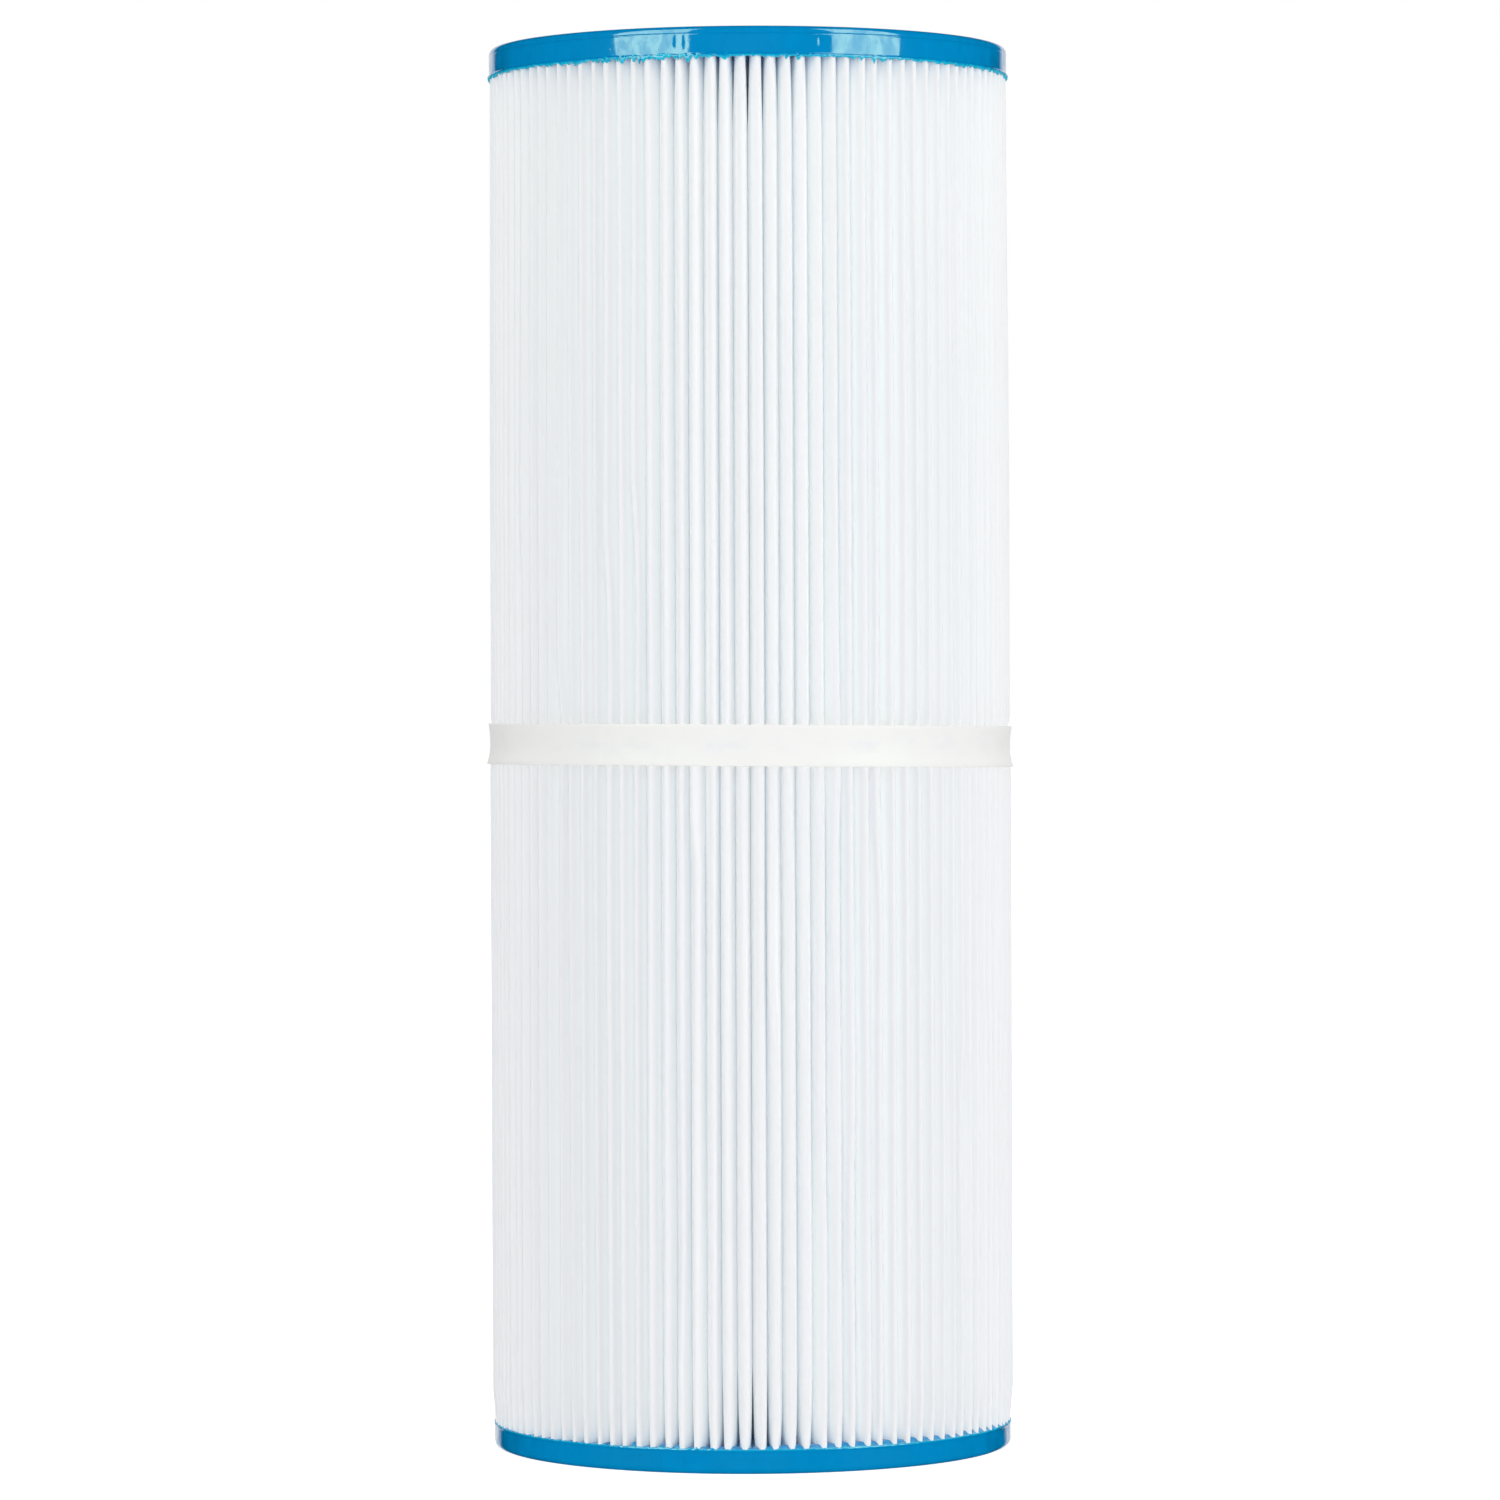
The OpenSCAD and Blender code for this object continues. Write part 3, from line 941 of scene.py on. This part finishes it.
class CARTRIDGE_OT_stage(bpy.types.Operator):
    """Set up the floor, the camera, the lamps and the room"""

    bl_idname = "cartridge.stage"
    bl_label = "Stage"

    # Light goes to and fro many times before it leaves the deep white gaps between the pleats
    BOUNCES = 40
    DIFFUSE_BOUNCES = 36

    FLOOR_REACH = 12.0           # from the floor's middle to its edge, in metres
    BACKDROP_STRENGTH = 0.8
    BACKDROP_EDGE = 0.86, 0.93   # how squarely a way points to the back where the backdrop starts and is full

    def execute(self, context):
        settings = context.scene.cartridge_stage
        context.scene.view_settings.view_transform = "Standard"
        context.scene.cycles.max_bounces = self.BOUNCES
        context.scene.cycles.diffuse_bounces = self.DIFFUSE_BOUNCES
        self.lay_floor(settings, self.FLOOR_REACH)
        self.set_camera(context, settings)
        self.hang_lamps()
        self.light_room(context, settings)
        return {"FINISHED"}

    @staticmethod
    def lay_floor(settings, reach):
        """A wide floor that the cartridge stands on, and that leaves no reflection on it."""
        bm = bmesh.new()
        bmesh.ops.create_grid(bm, x_segments=8, y_segments=8, size=reach)
        floor = add_piece("floor", bm, floor_finish(settings), smooth=False)
        floor.visible_glossy = False
        floor.visible_diffuse = False

    @staticmethod
    def set_camera(context, settings):
        """A long lens in front of the cartridge, looking slightly down."""
        data = bpy.data.cameras.new("camera")
        data.lens = settings.lens
        data.sensor_width = 36.0
        data.clip_start, data.clip_end = 0.05, 60.0
        camera = bpy.data.objects.new("camera", data)
        level = Matrix.Rotation(math.radians(90 - settings.tilt), 4, "X")
        lean = Matrix.Rotation(math.radians(settings.roll), 4, "Z")
        data.shift_x, data.shift_y = settings.shift
        place = Matrix.Translation((0, -settings.camera_distance, settings.eye_height))
        camera.matrix_world = place @ level @ lean
        context.scene.collection.objects.link(camera)
        context.scene.camera = camera

    @staticmethod
    def hang_lamps():
        """Places the lamps around the cartridge: boxes aim at its middle, and cards stand upright."""
        middle = Vector((0, 0, CARTRIDGE_LENGTH / 2))
        for lamp in LAMPS:
            is_card = lamp.shade == TINTED
            data = bpy.data.lights.new(lamp.name, "AREA")
            data.shape = "RECTANGLE"
            data.size, data.size_y = lamp.width, lamp.tall
            data.energy = lamp.power
            data.color = lamp.shade
            hung = bpy.data.objects.new(lamp.name, data)
            turn = math.radians(lamp.azimuth)
            hung.location = (lamp.away * math.sin(turn), -lamp.away * math.cos(turn), lamp.height)
            hung.rotation_mode = "QUATERNION"
            aim = Vector((0, 0, lamp.height)) if is_card else middle
            hung.rotation_quaternion = (aim - hung.location).to_track_quat("-Z", "Y")
            hung.visible_camera = False
            hung.visible_glossy = is_card
            hung.visible_diffuse = not is_card
            hung.visible_transmission = not is_card
            bpy.context.scene.collection.objects.link(hung)

    def light_room(self, context, settings):
        """White to the eye all round, with a bright backdrop behind the cartridge and a soft fill."""
        world = bpy.data.worlds.new("room")
        world.use_nodes = True
        world.node_tree.nodes.clear()
        room = NodeMaker(world.node_tree)
        rays = room.node("ShaderNodeLightPath")
        seen = Wire(room, rays.outputs["Is Camera Ray"])
        mirrored = Wire(room, rays.outputs["Is Glossy Ray"])
        way = room.axes(room.outlet("ShaderNodeTexCoord", "Generated"))
        start, full = self.BACKDROP_EDGE
        backdrop = room.outlet("ShaderNodeMapRange", "Result", {"interpolation_type": "SMOOTHSTEP"},
                               {"Value": way[1], "From Min": start, "From Max": full})
        fill = settings.fill * (1 - mirrored)
        strength = (backdrop * self.BACKDROP_STRENGTH).at_least(fill).at_least(seen)
        light = room.outlet("ShaderNodeBackground", 0, None, {"Color": (1, 1, 1, 1), "Strength": strength})
        room.node("ShaderNodeOutputWorld", None, {"Surface": light})
        context.scene.world = world


class CARTRIDGE_PT_panel(bpy.types.Panel):
    """Sizes, colours and steps of the filter cartridge"""

    bl_idname = "CARTRIDGE_PT_panel"
    bl_label = "Filter Cartridge"
    bl_space_type = "VIEW_3D"
    bl_region_type = "UI"
    bl_category = "Cartridge"

    def draw(self, context):
        for name, group in SETTINGS.items():
            box = self.layout.box()
            box.label(text=name.replace("_", " ").capitalize())
            for key in group.__annotations__:
                box.prop(getattr(context.scene, name), key)
        for operator in OPERATORS:
            self.layout.operator(operator.bl_idname)


OPERATORS = (CARTRIDGE_OT_stage, CARTRIDGE_OT_sheet, CARTRIDGE_OT_caps, CARTRIDGE_OT_band,
             CARTRIDGE_OT_core)
CLASSES = (*SETTINGS.values(), *OPERATORS, CARTRIDGE_PT_panel)


def register():
    """Adds the classes, and the settings to every scene."""
    for cls in CLASSES:
        bpy.utils.register_class(cls)
    for name, group in SETTINGS.items():
        setattr(bpy.types.Scene, name, PointerProperty(type=group))


def unregister():
    """Takes away what register added."""
    for name in SETTINGS:
        delattr(bpy.types.Scene, name)
    for cls in reversed(CLASSES):
        bpy.utils.unregister_class(cls)


def main():
    """Builds the stage and every piece."""
    register()
    bpy.ops.cartridge.stage()
    bpy.ops.cartridge.sheet()
    bpy.ops.cartridge.caps()
    bpy.ops.cartridge.band()
    bpy.ops.cartridge.core()


if __name__ == "__main__":
    main()
